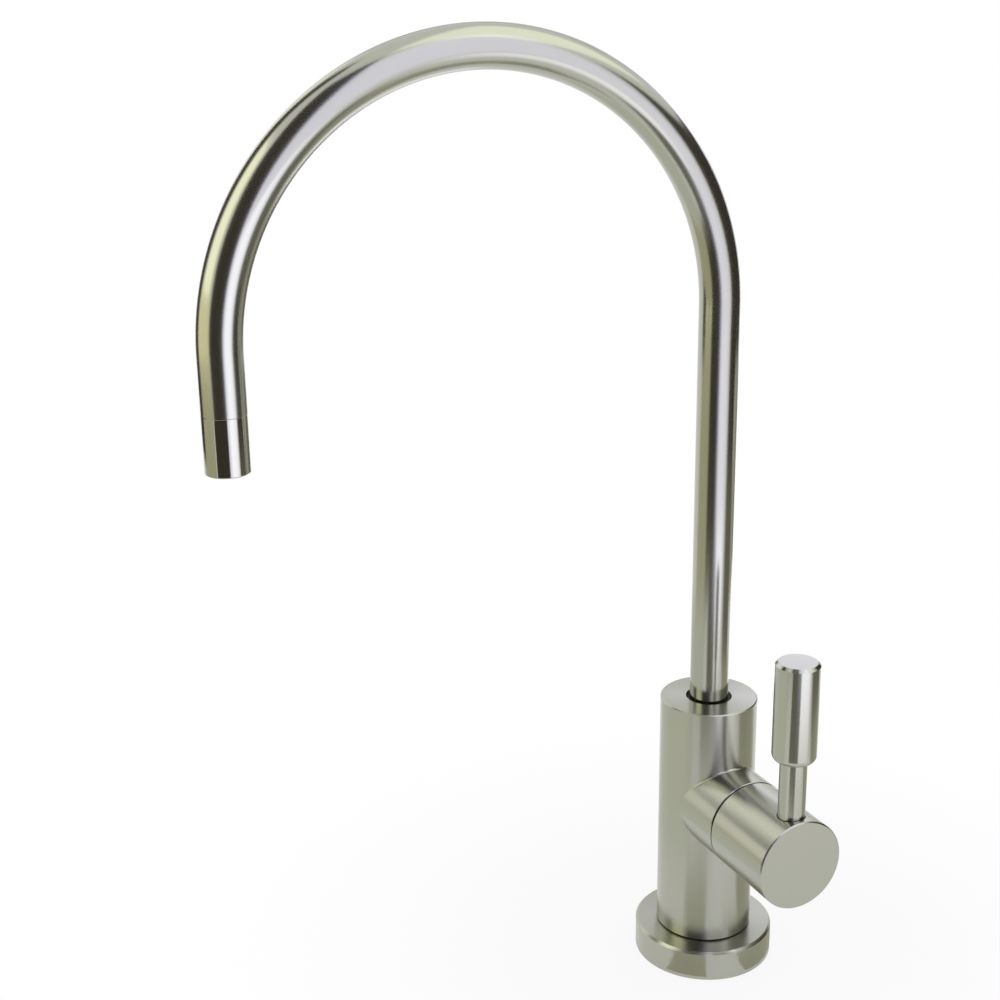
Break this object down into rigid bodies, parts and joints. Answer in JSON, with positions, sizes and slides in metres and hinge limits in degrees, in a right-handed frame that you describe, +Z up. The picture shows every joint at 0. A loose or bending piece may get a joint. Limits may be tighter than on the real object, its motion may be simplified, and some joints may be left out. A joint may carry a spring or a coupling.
{
  "type": "water filter tap",
  "caption": "Drinking water filter tap: tall swan-neck spout that swivels on a round body, side drum handle with an upright pin lever, and a threaded shank clamped through a worktop.",
  "frame": {"origin": "centre of the base disc's underside, on the body's axis, level with the worktop's top face", "axes": "+Z up along the body; the spout reaches to -Y, over the sink; the handle's axis runs to +X"},
  "size_m": [0.0792, 0.1867, 0.3889],
  "materials": {
    "satin_nickel": "satin brushed nickel",
    "brass": "turned",
    "plated_steel": "bright zinc",
    "spring_steel": "plain",
    "black_rubber": "matt",
    "white_nylon": "matt",
    "black_nylon": "matt",
    "white_acetal": "smooth",
    "grey_acetal": "smooth",
    "alumina": "lapped"
  },
  "bodies": {
    "tap": {"tap_body": "satin_nickel", "spout_bush": "black_nylon", "body_gasket": "black_rubber", "base_flange": "satin_nickel", "base_gasket": "black_rubber", "threaded_shank": "brass", "shank_oring": "black_rubber", "rubber_washer": "black_rubber", "clamp_washer": "plated_steel", "lock_washer": "plated_steel", "mounting_nut": "brass", "inlet_connector": "white_acetal", "inlet_seal": "black_rubber", "inlet_oring": "black_rubber", "cartridge_housing": "brass", "cartridge_oring": "black_rubber", "seat_seal": "black_rubber", "fixed_disc": "alumina"},
    "spout": {"spout_tube": "satin_nickel", "spout_tip": "satin_nickel", "flow_straightener": "white_nylon", "spout_foot": "brass", "spout_oring_lower": "black_rubber", "spout_oring_upper": "black_rubber", "spout_snap_ring": "white_nylon"},
    "handle": {"moving_disc": "alumina", "cartridge_spindle": "brass", "thrust_washer": "white_nylon", "spindle_oring_inner": "black_rubber", "spindle_oring_outer": "black_rubber", "spindle_clip": "spring_steel", "handle_hub": "satin_nickel", "lever": "satin_nickel", "hub_grub_screw": "spring_steel"},
    "collet": {"inlet_collet": "grey_acetal"}
  },
  "joints": [
    {"name": "spout_swivel", "type": "hinge", "parent": "tap", "child": "spout", "pos_m": [0, 0, 0.0739], "axis": [0, 0, 1], "continuous": true},
    {"name": "handle_turn", "type": "hinge", "parent": "tap", "child": "handle", "pos_m": [0.0408, 0, 0.059], "axis": [1, 0, 0], "range_deg": [0, 90]},
    {"name": "collet_push", "type": "slide", "parent": "tap", "child": "collet", "axis": [0, 0, 1], "range_m": [0, 0.001]}
  ]
}
